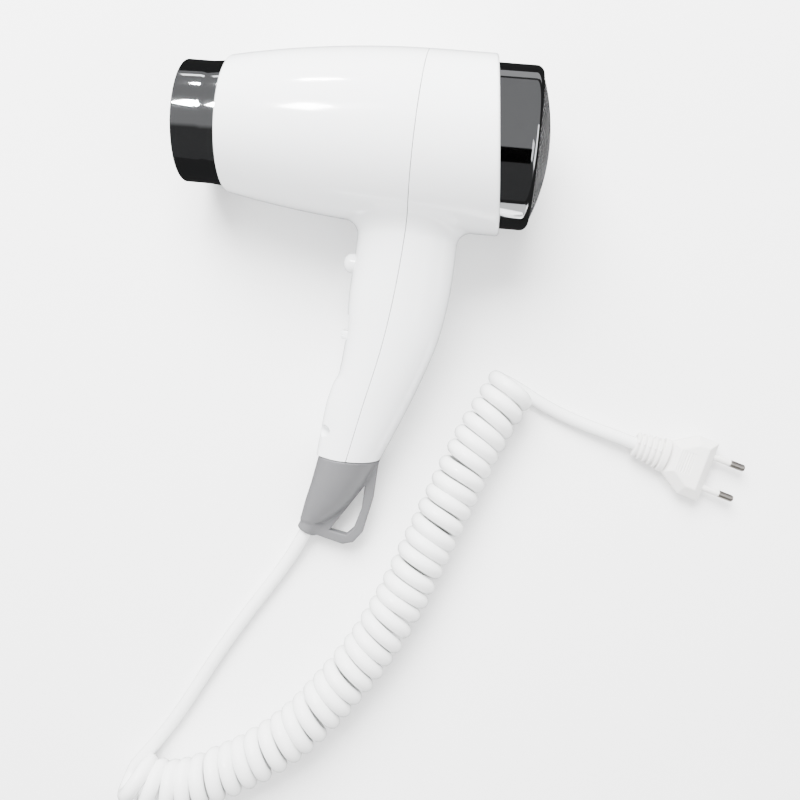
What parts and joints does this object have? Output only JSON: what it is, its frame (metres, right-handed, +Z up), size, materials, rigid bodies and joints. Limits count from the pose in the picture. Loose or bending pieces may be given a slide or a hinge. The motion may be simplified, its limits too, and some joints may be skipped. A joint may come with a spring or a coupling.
{
  "type": "hand-held hair dryer",
  "caption": "Hand-held hair dryer lying on its side: barrel with bright nozzle ring and meshed air inlet, push button and slide switch on the handle, hanging loop, curly cord and flat plug.",
  "frame": {"origin": "centre of the bottom of the dryer's box as it lies on its side, without the cord and plug, on the surface that it lies on", "axes": "+Z up from the surface, +X along the barrel seen from above, towards the air inlet, +Y from the handle end to the barrel"},
  "size_m": [0.348, 0.4294, 0.096],
  "materials": {
    "shell_white": "high gloss",
    "ring_chrome": "mirror-bright plated ring",
    "cap_chrome": "mirror-bright plated cap",
    "mesh_steel": "bright woven wire mesh",
    "filter_foam": "open foam",
    "duct_heatproof": "moulded",
    "motor_steel": "zinc-plated",
    "motor_nylon": "moulded",
    "copper_winding": "enamelled copper",
    "fan_plastic": "moulded",
    "mica_board": "mica sheet",
    "heating_wire": "drawn wire",
    "grille_metal": "black enamel",
    "component_black": "moulded",
    "component_yellow": "film box",
    "board_brown": "paper laminate board",
    "button_white": "gloss",
    "spring_steel": "spring wire",
    "screw_steel": "zinc-plated",
    "cap_grey": "satin",
    "clamp_nylon": "moulded",
    "wire_insulation": "silicone sleeve",
    "cord_white": "smooth soft PVC",
    "plug_white": "satin PVC",
    "pin_nickel": "nickel-plated brass",
    "pin_sleeve": "moulded"
  },
  "bodies": {
    "housing": {"front_shell": "shell_white", "rear_shell": "shell_white", "nozzle_ring": "ring_chrome", "outlet_grille": "grille_metal", "inlet_cap": "cap_chrome", "inlet_mesh": "mesh_steel", "lint_filter": "filter_foam", "fan_duct": "duct_heatproof", "motor_can": "motor_steel", "motor_end_bell": "motor_nylon", "rectifier_diodes": "component_black", "heater_board_upright": "mica_board", "heater_board_flat": "mica_board", "heater_coils": "heating_wire", "heater_sleeve": "mica_board", "thermostat": "motor_steel", "thermal_fuse": "component_black", "button_spring": "spring_steel", "microswitch_body": "component_black", "slide_switch_body": "component_black", "switch_board": "board_brown", "suppression_capacitor": "component_yellow", "end_cap": "cap_grey", "housing_screws": "screw_steel", "cord_clamp": "clamp_nylon", "clamp_screws": "screw_steel", "cord_inner_end": "cord_white", "power_wires": "wire_insulation", "cord_lead": "cord_white", "cord_curl": "cord_white", "cord_tail": "cord_white", "plug_body": "plug_white", "plug_boot": "plug_white", "plug_pins": "pin_nickel", "pin_sleeves": "pin_sleeve"},
    "fan": {"fan_impeller": "fan_plastic", "rotor_core": "copper_winding", "motor_shaft": "motor_steel"},
    "button": {"push_button": "button_white"},
    "plunger": {"microswitch_plunger": "component_black"},
    "switch": {"slide_switch_knob": "button_white"}
  },
  "joints": [
    {"name": "fan_spin", "type": "hinge", "parent": "housing", "child": "fan", "pos_m": [0.02453, 0.08828, 0.04687], "axis": [0.9976, 0, 0.0698], "continuous": true},
    {"name": "button_press", "type": "slide", "parent": "housing", "child": "button", "axis": [0.9976, 0, 0.0698], "range_m": [0, 0.0025], "stiffness_N_per_m": 150, "springref_m": -0.001, "deforming": ["button_spring"]},
    {"name": "plunger_press", "type": "slide", "parent": "housing", "child": "plunger", "axis": [0.9976, 0, 0.0698], "range_m": [0, 0.0025]},
    {"name": "switch_slide", "type": "slide", "parent": "housing", "child": "switch", "axis": [-0.0116, 0.986, 0.1664], "range_m": [0, 0.008]}
  ],
  "couplings": [
    {"joint": "plunger_press", "follows": "button_press", "ratio": 1}
  ]
}
